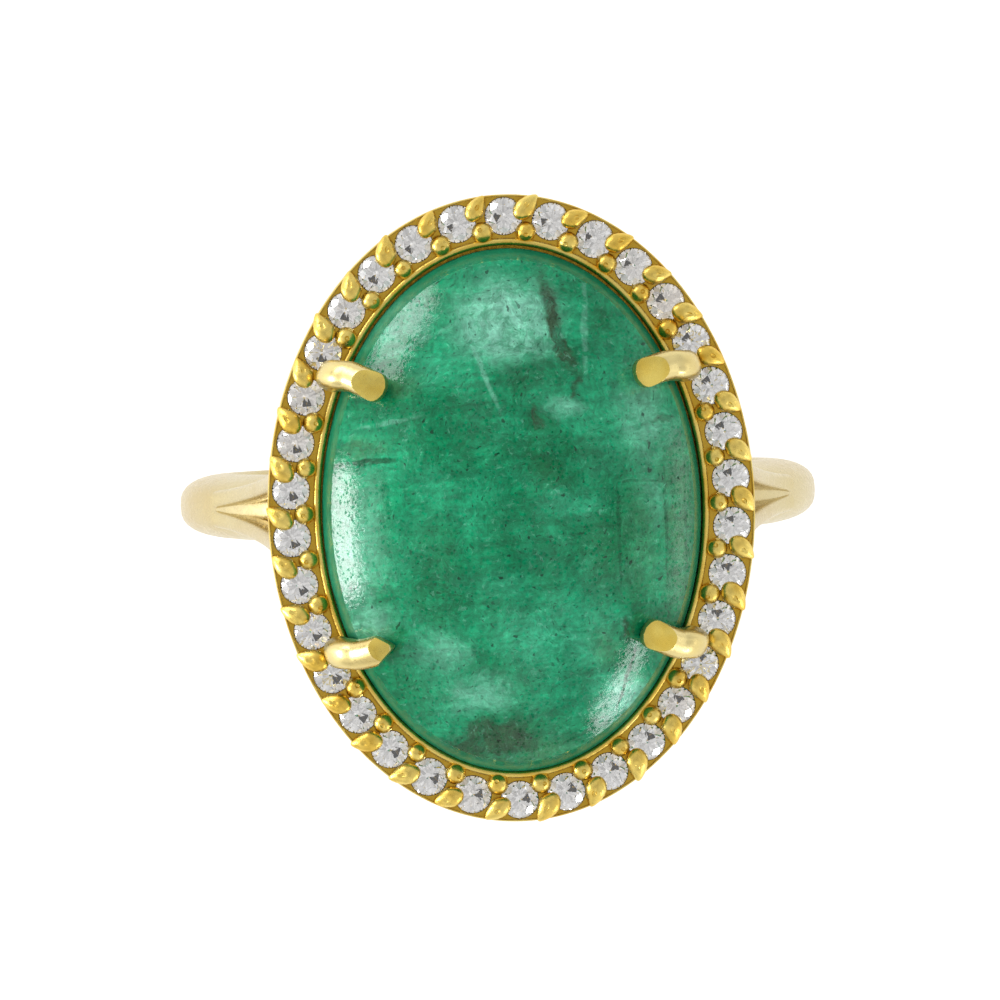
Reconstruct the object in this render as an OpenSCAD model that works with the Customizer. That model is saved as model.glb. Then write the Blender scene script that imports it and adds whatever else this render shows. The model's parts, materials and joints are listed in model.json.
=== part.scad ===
// Cocktail ring: an oval cabochon in four claws, ringed by small brilliants, on a half-round shank
// whose shoulders fork up to the halo. Millimetres. Origin in the middle of the finger hole,
// +Y along the finger, +Z towards the stone, +X across the finger.

/* [Finger] */
// Inside diameter of the shank
finger_d = 18.14; // [17.5:0.1:18.9]

/* [Shank] */
// Thickness of the shank at the sides of the finger
shank_t = 1.96; // [1.8:0.02:2.1]
// How much thinner the shank is at the palm
palm_thinning = 0.3; // [0.2:0.05:0.4]
// Width of the shank at the shoulders
shoulder_w = 2.35; // [2.2:0.05:2.7]
// Width of the shank at the palm
palm_w = 1.9; // [1.6:0.05:2.2]
// Radius of the half-round crest
crest_r = 1.45; // [1.45:0.05:2]
// How far each shoulder bar leans away from its neighbour, in degrees
fork_lean = 6.5; // [5:0.5:8]

/* [Centre stone] */
// Width of the cabochon, across the finger
stone_w = 12.6; // [12.4:0.1:12.7]
// Length of the cabochon, along the finger
stone_l = 17.4; // [17.2:0.1:17.5]
// Height of the dome above the girdle
dome_h = 3.8; // [3.6:0.1:4]
// How full the dome is, 2 being a paraboloid
dome_fullness = 2.1; // [2:0.05:2.3]
// How far the stone sits off the middle of its collet, towards the front
stone_shift = 0.06; // [0:0.01:0.08]

/* [Halo] */
// Width of the halo plate, across the finger
halo_w = 16.2; // [16.15:0.05:16.4]
// Length of the halo plate, along the finger
halo_l = 20.86; // [20.8:0.05:21.05]
// Thickness of the halo plate
halo_t = 1.2; // [1:0.05:1.3]
// Height of the halo's top face above the finger hole
halo_rise = 4.13; // [4:0.05:4.4]
// Diameter of one brilliant
brilliant_d = 1.25; // [1.18:0.01:1.26]

/* [Claws] */
// Diameter of a claw above the halo
claw_d = 1.04; // [0.9:0.02:1.06]
// Diameter of a claw where it passes the girdle
claw_neck_d = 0.7; // [0.6:0.02:0.72]

/* [Hidden] */
finger_r = finger_d / 2;
crest_reach = finger_r + shank_t;
brilliant_count = 34;

// Heights above the finger hole's axis
rail_z = finger_r + 0.18;
rail_top = rail_z + 1;
halo_top = finger_r + halo_rise;
halo_bottom = halo_top - halo_t;
collet_bottom = halo_bottom - 0.5;
collet_top = halo_top + 0.1;
ledge_z = halo_top - 0.7;
girdle_z = halo_top;
girdle_band = 0.3;
stone_base_z = halo_top - 1.3;
stone_base_share = 0.8;

// Half sizes of the ovals, across and along the finger
stone = [stone_w / 2, stone_l / 2];
collet_in = stone + [0.1, 0.1];
ledge_in = stone - [0.55, 0.55];
collet_out = stone + [0.28, 0.28];
halo_out = [halo_w / 2, halo_l / 2];
row = (collet_out + halo_out) / 2;
rail_mid = [5.2, 7.6];
rail_out = rail_mid + [0.45, 0.45];
rail_in = rail_mid - [0.45, 0.45];
oval_sides = 120;

// A brilliant's proportions, as shares of its diameter
table_share = 0.56;
crown_share = 0.15;
girdle_share = 0.03;
pavilion_share = 0.43;
star_r_share = 0.379;
lower_half_r_share = 0.115;
brilliant_z = halo_top - 0.06;

big = 60;
eps = 0.01;

function unit(v) = v / norm(v);
// A point of an oval: angle 0 at +Y, growing towards +X
function oval_point(h, t) = [h[0] * sin(t), h[1] * cos(t)];
function oval_normal(h, t) = unit([sin(t) / h[0], cos(t) / h[1]]);
function oval_loop(h, n = oval_sides) = [for (i = [0:n - 1]) oval_point(h, 360 * i / n)];

// Arc length round the stone row against angle, so that the brilliants stand evenly
row_table = [
    for (i = 0, s = 0; i <= 360; s = s + norm(oval_point(row, i + 1) - oval_point(row, i)), i = i + 1)
        [s, i]
];
row_length = row_table[360][0];
function row_angle(k) = lookup(row_length * k / brilliant_count, row_table);

// Height of the stone's skin over a point of its plan: a steep bevel, then the dome
bevel_share = 0.955;
bevel_h = 1.1;
function skin_z(share) =
    share > bevel_share
        ? girdle_z + bevel_h * (1 - share) / (1 - bevel_share)
        : girdle_z + bevel_h + (dome_h - bevel_h) * (1 - pow(share / bevel_share, dome_fullness));
function dome_z(x, y) = skin_z(min(1, norm([x / stone[0], y / stone[1]])));

function two_digits(k) = k < 10 ? str("0", k) : str(k);
BRILLIANTS = [for (k = [1:brilliant_count]) str("halo_diamond_", two_digits(k))];
CLAWS = ["claw_back_right", "claw_front_right", "claw_front_left", "claw_back_left"];
STRUTS = ["gallery_strut_back_right", "gallery_strut_front_right",
          "gallery_strut_front_left", "gallery_strut_back_left"];
BARS = ["shoulder_bar_back_right", "shoulder_bar_front_right",
        "shoulder_bar_front_left", "shoulder_bar_back_left"];

// Which way each of four mirrored pieces faces: across, then along the finger
QUARTERS = [[1, 1], [1, -1], [-1, -1], [-1, 1]];

// Mirrors a piece that is drawn at +X, +Y into one of the four quarters
module quarter(q)
    mirror([q[0] < 0 ? 1 : 0, 0, 0]) mirror([0, q[1] < 0 ? 1 : 0, 0]) children();

module oval_prism(h, z0, z1)
    translate([0, 0, z0]) linear_extrude(z1 - z0) polygon(oval_loop(h));

module oval_ring(outer, inner, z0, z1)
    translate([0, 0, z0]) linear_extrude(z1 - z0)
        difference() {
            polygon(oval_loop(outer));
            polygon(oval_loop(inner));
        }

module finger_hole(r = finger_r)
    rotate([90, 0, 0]) cylinder(h = big, r = r, center = true, $fn = 128);

// The half-round band, lifted so that it is thickest at the top
module band()
    translate([0, 0, palm_thinning]) rotate([90, 0, 0]) rotate_extrude($fn = 128)
        intersection() {
            translate([crest_reach - crest_r, 0]) circle(crest_r, $fn = 64);
            translate([finger_r - 1, -shoulder_w / 2]) square([shank_t + 2, shoulder_w]);
        }

// Side planes that narrow the band from the shoulders to the palm
module taper()
    rotate([90, 0, 90]) linear_extrude(big, center = true)
        polygon([[-palm_w / 2, -crest_reach], [palm_w / 2, -crest_reach],
                 [shoulder_w / 2, finger_r], [shoulder_w / 2, big],
                 [-shoulder_w / 2, big], [-shoulder_w / 2, finger_r]]);

// The band runs all the way round the finger, notched for the base rail and flat between its sides
module shank()
    color("gold") difference() {
        intersection() {
            band();
            taper();
        }
        finger_hole();
        oval_ring(rail_out, rail_in, rail_z, big);
        oval_prism(rail_out, rail_top, big);
    }

// One bar of a forked shoulder: it leaves the crest of the band on a tangent and climbs to the halo
bar_start = [9.5, 5.1];
bar_bend = [8.15, 7.9];
bar_end = [7.5, halo_bottom + 0.3];
bar_half = 0.48;
bar_w = 0.62;
bar_steps = 14;

function bezier(a, b, c, t) = a * pow(1 - t, 2) + b * 2 * t * (1 - t) + c * pow(t, 2);
function bezier_side(a, b, c, t, d) =
    let (along = unit((b - a) * (1 - t) + (c - b) * t))
    bezier(a, b, c, t) + d * [along[1], -along[0]];
bar_outline = concat(
    [for (i = [0:bar_steps]) bezier_side(bar_start, bar_bend, bar_end, i / bar_steps, bar_half)],
    [for (i = [bar_steps:-1:0]) bezier_side(bar_start, bar_bend, bar_end, i / bar_steps, -bar_half)]);

module shoulder_bar(q)
    color("gold") quarter(q) difference() {
        translate([0, 0, bar_start[1]]) rotate([-fork_lean, 0, 0]) translate([0, bar_w, -bar_start[1]])
            rotate([90, 0, 0]) linear_extrude(bar_w) polygon(bar_outline);
        band();
        finger_hole(finger_r + shank_t / 2);
        translate([0, -big / 2, 0]) cube([big, big / 2, big]);
        translate([0, -big / 2, halo_bottom]) cube([big, big, big]);
    }

module base_rail()
    color("gold") oval_ring(rail_out, rail_in, rail_z, rail_top);

// Claws stand in the halo's gaps, counted in brilliants from the back of the oval
claw_gap = 5.5;
claw_t = row_angle(claw_gap) - 1.3;
claw_neck = oval_point(stone, claw_t) + oval_normal(stone, claw_t) * (claw_neck_d / 2 + 0.07);

module claw_hole()
    for (q = QUARTERS)
        quarter(q) translate([claw_neck[0], claw_neck[1], 0])
            cylinder(h = big, r = claw_neck_d / 2 + eps, $fn = 48);

// The rebated wall that the stone sits in
module stone_collet()
    color("gold") difference() {
        oval_prism(collet_out, collet_bottom, collet_top);
        oval_prism(ledge_in, collet_bottom - 1, collet_top + 1);
        oval_prism(collet_in, ledge_z, collet_top + 1);
        claw_hole();
    }

module at_row(k, shift = 0) {
    t = row_angle(k);
    p = oval_point(row, t) + oval_normal(row, t) * shift;
    translate([p[0], p[1], 0]) rotate(atan2(oval_normal(row, t)[1], oval_normal(row, t)[0])) children();
}

// The hole that one brilliant sits in: a straight wall, a cone under the girdle and a light hole
seat_r = brilliant_d / 2 + 0.01;
light_hole_r = brilliant_d * 0.29;
seat_floor = brilliant_z - girdle_share * brilliant_d - 0.02;
seat_cone = (seat_r - light_hole_r) * pavilion_share * 2;
module seat()
    rotate_extrude($fn = 48)
        polygon([[0, halo_bottom - 1], [light_hole_r, halo_bottom - 1],
                 [light_hole_r, seat_floor - seat_cone], [seat_r, seat_floor],
                 [seat_r, halo_top + 1], [0, halo_top + 1]]);

module halo_plate()
    color("goldenrod") difference() {
        oval_ring(halo_out, collet_out, halo_bottom, halo_top);
        for (k = [0:brilliant_count - 1]) at_row(k) seat();
        claw_hole();
    }

// A rounded prong head that stands on the halo's top face
module prong_head(r, lift)
    intersection() {
        translate([0, 0, halo_top + lift]) sphere(r, $fn = 40);
        translate([-1, -1, halo_top]) cube([2, 2, 2]);
    }

outer_prong_r = 0.29;
outer_prong_shift = 0.42;
module outer_prongs()
    color("gold") for (k = [0:brilliant_count - 1])
        at_row(k + 0.5, outer_prong_shift) prong_head(outer_prong_r, 0.12);

inner_bead_r = 0.26;
inner_bead_shift = -0.43;
function is_claw_gap(k) =
    abs(abs(k + 0.5 - brilliant_count / 4) - abs(claw_gap - brilliant_count / 4)) < eps
    || abs(abs(k + 0.5 - brilliant_count * 3 / 4) - abs(claw_gap - brilliant_count / 4)) < eps;
module inner_beads()
    color("gold") for (k = [0:brilliant_count - 1])
        if (!is_claw_gap(k)) at_row(k + 0.5, inner_bead_shift) prong_head(inner_bead_r, 0.1);

// The cabochon: a flat base, a chamfer, a narrow girdle, a steep bevel and the dome
cap_rings = 11;
stone_sides = 64;
function stone_ring(share, z) = [for (p = oval_loop(stone * share, stone_sides)) [p[0], p[1], z]];
stone_rings = concat(
    [stone_ring(stone_base_share, stone_base_z), stone_ring(1, girdle_z - girdle_band),
     stone_ring(1, girdle_z)],
    [for (i = [0:cap_rings - 1])
        let (share = bevel_share * (1 - i / cap_rings)) stone_ring(share, skin_z(share))]);

// Stacks rings of points into a closed skin with a flat first end, and a flat or pointed last one
function skin_faces(n, count, pointed) = concat(
    [[for (i = [n - 1:-1:0]) i]],
    [for (k = [0:count - 2]) for (i = [0:n - 1])
        [k * n + i, k * n + (i + 1) % n, (k + 1) * n + (i + 1) % n, (k + 1) * n + i]],
    pointed
        ? [for (i = [0:n - 1]) [(count - 1) * n + i, (count - 1) * n + (i + 1) % n, count * n]]
        : [[for (i = [0:n - 1]) (count - 1) * n + i]]);

module emerald_cabochon()
    color("seagreen") translate([0, -stone_shift, 0])
        polyhedron(
            points = concat([for (r = stone_rings) each r], [[0, 0, girdle_z + dome_h]]),
            faces = skin_faces(stone_sides, len(stone_rings), true));

// A claw's line: up from the rail, straight through the halo, then bent over onto the dome
claw_sides = 12;
claw_clear = 0.05;
claw_r = claw_d / 2;
claw_neck_r = claw_neck_d / 2;
claw_foot = oval_point(rail_mid, claw_t);
claw_swell = [5.86, 4.58];
claw_elbow = [5.62, 4.6];
claw_rests = [[4.92, 4.46], [4.5, 4.35], [4.15, 4.25], [3.95, 4.19]];

// A point of the claw's line that lies over a point of the dome, square to the dome's skin
function over_dome(p) =
    let (d = 0.05,
         slope = [(dome_z(p[0] + d, p[1]) - dome_z(p[0] - d, p[1])) / (2 * d),
                  (dome_z(p[0], p[1] + d) - dome_z(p[0], p[1] - d)) / (2 * d)],
         up = unit([-slope[0], -slope[1], 1]))
    [p[0], p[1], dome_z(p[0], p[1])] + up * (claw_r + claw_clear);

claw_line = concat(
    [for (z = [rail_top, rail_top + 0.2]) [claw_foot[0], claw_foot[1], z]],
    [for (z = [halo_bottom - 0.4, halo_bottom + 0.3, halo_top + 0.2]) [claw_neck[0], claw_neck[1], z]],
    [[claw_swell[0], claw_swell[1], halo_top + 0.95], [claw_elbow[0], claw_elbow[1], halo_top + 1.42]],
    [for (p = claw_rests) over_dome(p)]);
claw_end = len(claw_line) - 1;
claw_radii = [for (i = [0:claw_end]) i < 5 ? claw_neck_r : i < claw_end ? claw_r : claw_r * 0.72];

// Across the claw: level, and square to the way it leans in over the stone
claw_across = unit([claw_rests[0][1] - claw_rests[3][1], claw_rests[3][0] - claw_rests[0][0], 0]);
function line_way(i) =
    i < 2 ? [0, 0, 1] : unit(claw_line[min(i + 1, claw_end)] - claw_line[i - 1]);
function claw_ring(i) =
    let (u = claw_across, v = unit(cross(line_way(i), u)), step = 360 / claw_sides)
    [for (j = [0:claw_sides - 1])
        claw_line[i] + claw_radii[i] * (cos(step * j) * v + sin(step * j) * u)];

module claw(q)
    color("gold") quarter(q)
        polyhedron(
            points = [for (i = [0:claw_end]) each claw_ring(i)],
            faces = skin_faces(claw_sides, claw_end + 1, false));

// Curved struts hold the ends of the halo over the rail
strut_r = 0.42;
strut_t = 22;
strut_sides = 16;
strut_steps = 6;
strut_foot = oval_point(rail_mid, strut_t);
strut_head = oval_point(row, strut_t);
function strut_ring(t) =
    let (p = strut_foot + (strut_head - strut_foot) * pow(t, 1.5), step = 360 / strut_sides)
    [for (j = [0:strut_sides - 1])
        [p[0] + strut_r * cos(step * j), p[1] - strut_r * sin(step * j),
         rail_top + (halo_bottom - rail_top) * t]];

module gallery_strut(q)
    color("gold") quarter(q)
        polyhedron(
            points = [for (i = [0:strut_steps]) each strut_ring(i / strut_steps)],
            faces = skin_faces(strut_sides, strut_steps + 1, false));

// A round brilliant: table, 8 stars, 8 kites, 16 upper halves, girdle, 16 lower halves, 8 mains
function spoke(r, i, z) = [r * cos(22.5 * i), r * sin(22.5 * i), z];
crown_slope = crown_share / (0.5 - table_share / 2);
star_z = crown_slope * (0.5 - star_r_share * cos(22.5));
lower_half_z = -girdle_share - pavilion_share * (1 - 2 * lower_half_r_share * cos(22.5));
brilliant_points = concat(
    [for (i = [0:7]) spoke(table_share / 2, 2 * i, crown_share)],
    [for (i = [0:7]) spoke(star_r_share, 2 * i + 1, star_z)],
    [for (i = [0:15]) spoke(0.5, i, 0)],
    [for (i = [0:15]) spoke(0.5, i, -girdle_share)],
    [for (i = [0:7]) spoke(lower_half_r_share, 2 * i + 1, lower_half_z)],
    [[0, 0, -girdle_share - pavilion_share]]);
star_at = 8;
upper_at = 16;
lower_at = 32;
half_at = 48;
culet_at = 56;
brilliant_faces = concat(
    [[for (i = [7:-1:0]) i]],
    [for (i = [0:7]) [i, (i + 1) % 8, star_at + i]],
    [for (i = [0:7]) [i, star_at + i, upper_at + 2 * i, star_at + (i + 7) % 8]],
    [for (i = [0:7]) [star_at + i, upper_at + 2 * i + 1, upper_at + 2 * i]],
    [for (i = [0:7]) [star_at + i, upper_at + (2 * i + 2) % 16, upper_at + 2 * i + 1]],
    [for (i = [0:15]) [upper_at + i, upper_at + (i + 1) % 16, lower_at + (i + 1) % 16, lower_at + i]],
    [for (i = [0:7]) [half_at + i, lower_at + 2 * i, lower_at + 2 * i + 1]],
    [for (i = [0:7]) [half_at + i, lower_at + 2 * i + 1, lower_at + (2 * i + 2) % 16]],
    [for (i = [0:7]) [culet_at, half_at + (i + 7) % 8, lower_at + 2 * i, half_at + i]]);

module halo_diamond(k)
    color("white") at_row(k) translate([0, 0, brilliant_z])
        scale(brilliant_d) polyhedron(points = brilliant_points, faces = brilliant_faces);

shank();
base_rail();
stone_collet();
halo_plate();
outer_prongs();
inner_beads();
emerald_cabochon();
for (i = [0:3]) claw(QUARTERS[i]);
for (i = [0:3]) gallery_strut(QUARTERS[i]);
for (i = [0:3]) shoulder_bar(QUARTERS[i]);
for (k = [0:brilliant_count - 1]) halo_diamond(k);
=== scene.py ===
"""Looks of a cocktail ring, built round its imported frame.

An oval green cabochon sits in four claws, ringed by small brilliants in a pavé halo, on a half-round
gold shank whose shoulders fork up to the halo. Shapes are modelled in millimetres on the frame's own
sizes, and each finished mesh is brought to metres.
"""

import json
import logging
import math
import random
from dataclasses import dataclass, field
from enum import Enum
from typing import Iterator, Sequence

import bmesh
import bpy
from mathutils import Matrix, Vector


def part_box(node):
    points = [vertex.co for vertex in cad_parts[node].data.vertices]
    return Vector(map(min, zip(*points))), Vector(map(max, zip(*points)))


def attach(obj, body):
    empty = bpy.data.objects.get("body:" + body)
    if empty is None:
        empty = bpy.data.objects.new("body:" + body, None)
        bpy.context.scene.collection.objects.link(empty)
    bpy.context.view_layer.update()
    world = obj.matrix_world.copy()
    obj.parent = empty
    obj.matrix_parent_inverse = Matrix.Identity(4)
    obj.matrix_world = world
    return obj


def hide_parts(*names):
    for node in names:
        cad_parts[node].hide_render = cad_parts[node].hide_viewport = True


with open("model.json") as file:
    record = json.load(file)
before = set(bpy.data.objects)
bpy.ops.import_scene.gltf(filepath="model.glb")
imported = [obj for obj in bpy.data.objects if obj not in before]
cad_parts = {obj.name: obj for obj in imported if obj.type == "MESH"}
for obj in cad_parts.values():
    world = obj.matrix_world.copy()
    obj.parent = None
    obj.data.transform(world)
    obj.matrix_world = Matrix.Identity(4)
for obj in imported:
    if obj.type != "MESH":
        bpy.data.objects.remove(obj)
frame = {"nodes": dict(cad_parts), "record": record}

LOG = logging.getLogger("cocktail_ring")
MM = 0.001
PER_M = 1000.0
ANY_HEIGHT = 1000  # half a patch's depth, so that it runs right through the stone
SEED = 34
BODY = "root"

Colour = tuple[float, float, float]


class Slot(Enum):
    """Material slots that the record names."""

    BAND = "gold_band"
    HALO = "gold_halo"
    CLAW = "gold_claw"
    EMERALD = "emerald"
    DIAMOND = "diamond"


class Quarter(Enum):
    """The four mirrored places round the head: across the finger, then along it."""

    BACK_RIGHT = (1, 1)
    FRONT_RIGHT = (1, -1)
    FRONT_LEFT = (-1, -1)
    BACK_LEFT = (-1, 1)

    @property
    def label(self) -> str:
        """The ending that node names use for this quarter."""
        return self.name.lower()

    def flip(self) -> Matrix:
        """The mirror that carries the back right quarter here."""
        return Matrix.Diagonal((self.value[0], self.value[1], 1, 1))


class ClawTip(Enum):
    """How a claw's end was filed."""

    OVAL_FACET = "oval facet"
    POINT = "point"


@dataclass(frozen=True)
class Span:
    """A node's box at rest, in millimetres."""

    low: Vector
    high: Vector

    @classmethod
    def of(cls, node: str) -> "Span":
        """Reads a node's box from the frame.

        Args:
            node: The node's name.

        Returns:
            Its box in millimetres.
        """
        low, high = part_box(node)
        return cls(low * PER_M, high * PER_M)

    @property
    def centre(self) -> Vector:
        """The middle of the box."""
        return (self.low + self.high) / 2

    @property
    def half(self) -> Vector:
        """Half the box's size."""
        return (self.high - self.low) / 2


@dataclass(frozen=True)
class Piece:
    """A finished object, its material slot and the CAD nodes that it stands for."""

    thing: bpy.types.Object
    slot: Slot
    stands_for: tuple[str, ...] = ()


# ---------------------------------------------------------------- mesh work


def level_oval(
    bm: bmesh.types.BMesh, half: Sequence[float], z: float, sides: int, centre: Sequence[float] = (0, 0)
) -> list[bmesh.types.BMEdge]:
    """Adds a level oval loop.

    Args:
        bm: The mesh being built.
        half: Half sizes across and along the finger.
        z: Height of the loop.
        sides: How many edges it has.
        centre: Its middle, seen from above.

    Returns:
        The loop's edges.
    """
    place = Matrix.Translation((centre[0], centre[1], z)) @ Matrix.Diagonal((half[0], half[1], 1, 1))
    made = bmesh.ops.create_circle(bm, segments=sides, radius=1, matrix=place)
    return loop_edges(made["verts"])


def loop_edges(verts: Sequence[bmesh.types.BMVert]) -> list[bmesh.types.BMEdge]:
    """Every edge that touches these vertices, once each."""
    return list({edge for vert in verts for edge in vert.link_edges})


def bridge(bm: bmesh.types.BMesh, loops: Sequence[list[bmesh.types.BMEdge]], closed: bool = False) -> None:
    """Skins a row of edge loops.

    Args:
        bm: The mesh being built.
        loops: Edge loops in order.
        closed: Whether the last loop is joined to the first.
    """
    followers = list(loops[1:]) + ([loops[0]] if closed else [])
    for first, second in zip(loops, followers):
        bmesh.ops.bridge_loops(bm, edges=[*first, *second])


def cap(bm: bmesh.types.BMesh, loop: list[bmesh.types.BMEdge]) -> None:
    """Closes an open edge loop with one face."""
    bmesh.ops.edgeloop_fill(bm, edges=loop)


@dataclass(frozen=True)
class Station:
    """One section of a swept bar: where it is, which way the bar runs, and its half sizes."""

    at: Vector
    along: Vector
    across: Vector
    half_across: float
    half_up: float

    def place(self) -> Matrix:
        """Works out where a unit circle goes.

        Returns:
            The matrix that carries it onto this section.
        """
        along = self.along.normalized()
        across = (self.across - along * self.across.dot(along)).normalized()
        up = along.cross(across)
        turn = Matrix((across * self.half_across, up * self.half_up, along)).transposed()
        return Matrix.Translation(self.at) @ turn.to_4x4()


def sweep(bm: bmesh.types.BMesh, stations: Sequence[Station], sides: int, squareness: float = 1.0) -> None:
    """Builds a closed bar through a row of sections.

    Args:
        bm: The mesh being built.
        stations: The sections in order.
        sides: How many sides the bar has.
        squareness: 1 for an ellipse, and less for a squarer section with round corners.
    """
    loops = []
    for station in stations:
        made = bmesh.ops.create_circle(bm, segments=sides, radius=1)
        for vert in made["verts"]:
            vert.co.x = math.copysign(abs(vert.co.x) ** squareness, vert.co.x)
            vert.co.y = math.copysign(abs(vert.co.y) ** squareness, vert.co.y)
        bmesh.ops.transform(bm, matrix=station.place(), verts=made["verts"])
        loops.append(loop_edges(made["verts"]))
    bridge(bm, loops)
    cap(bm, loops[0])
    cap(bm, loops[-1])


def slice_off(
    bm: bmesh.types.BMesh, point: Vector, normal: Vector, rim: float = 0.0, slot: int = 0
) -> None:
    """Files away what lies beyond a plane, and closes the cut.

    Args:
        bm: The mesh being cut.
        point: A point of the plane.
        normal: The side that goes.
        rim: Width of the bevel round the cut, or 0 for a sharp rim.
        slot: Material index of the cut.
    """
    cut = bmesh.ops.bisect_plane(
        bm, geom=[*bm.verts, *bm.edges, *bm.faces], dist=1e-5, plane_co=point, plane_no=normal,
        clear_outer=True,
    )
    border = [item for item in cut["geom_cut"] if isinstance(item, bmesh.types.BMEdge)]
    if not border:
        return
    made = bmesh.ops.edgeloop_fill(bm, edges=border)
    for face in made["faces"]:
        face.material_index = slot
    if rim > 0:
        ring = list({edge for face in made["faces"] for edge in face.edges})
        bmesh.ops.bevel(
            bm, geom=ring, offset=rim, offset_type="OFFSET", segments=2, profile=0.5, affect="EDGES",
            material=-1, clamp_overlap=True,
        )


def fill(bm: bmesh.types.BMesh, loops: Sequence[list[bmesh.types.BMEdge]]) -> None:
    """Fills level ground between edge loops, which may be holes."""
    edges = [edge for loop in loops for edge in loop]
    bmesh.ops.triangle_fill(bm, edges=edges, use_beauty=True, normal=(0, 0, 1))


def raw_object(name: str, bm: bmesh.types.BMesh) -> bpy.types.Object:
    """Makes an object of a bmesh, still in millimetres, and frees the bmesh.

    Args:
        name: The object's name.
        bm: Its mesh.

    Returns:
        The object, linked to the scene.
    """
    bmesh.ops.recalc_face_normals(bm, faces=bm.faces)
    mesh = bpy.data.meshes.new(name)
    bm.to_mesh(mesh)
    bm.free()
    thing = bpy.data.objects.new(name, mesh)
    bpy.context.scene.collection.objects.link(thing)
    return thing


def finished(
    thing: bpy.types.Object, material: bpy.types.Material, crease_deg: float = 40.0
) -> bpy.types.Object:
    """Brings an object to metres, smooths it up to an angle and gives it its material.

    Args:
        thing: The object, modelled in millimetres at the origin.
        material: Its finish.
        crease_deg: Edges sharper than this stay sharp.

    Returns:
        The same object.
    """
    mesh = thing.data
    mesh.transform(Matrix.Scale(MM, 4))
    mesh.shade_smooth()
    mesh.set_sharp_from_angle(angle=math.radians(crease_deg))
    mesh.materials.append(material)
    return thing


# ---------------------------------------------------------------- materials


@dataclass(frozen=True)
class Cloud:
    """A soft oval patch seen from above, in millimetres, turned anticlockwise."""

    at: tuple[float, float]
    half: tuple[float, float]
    turn_deg: float
    strength: float


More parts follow.
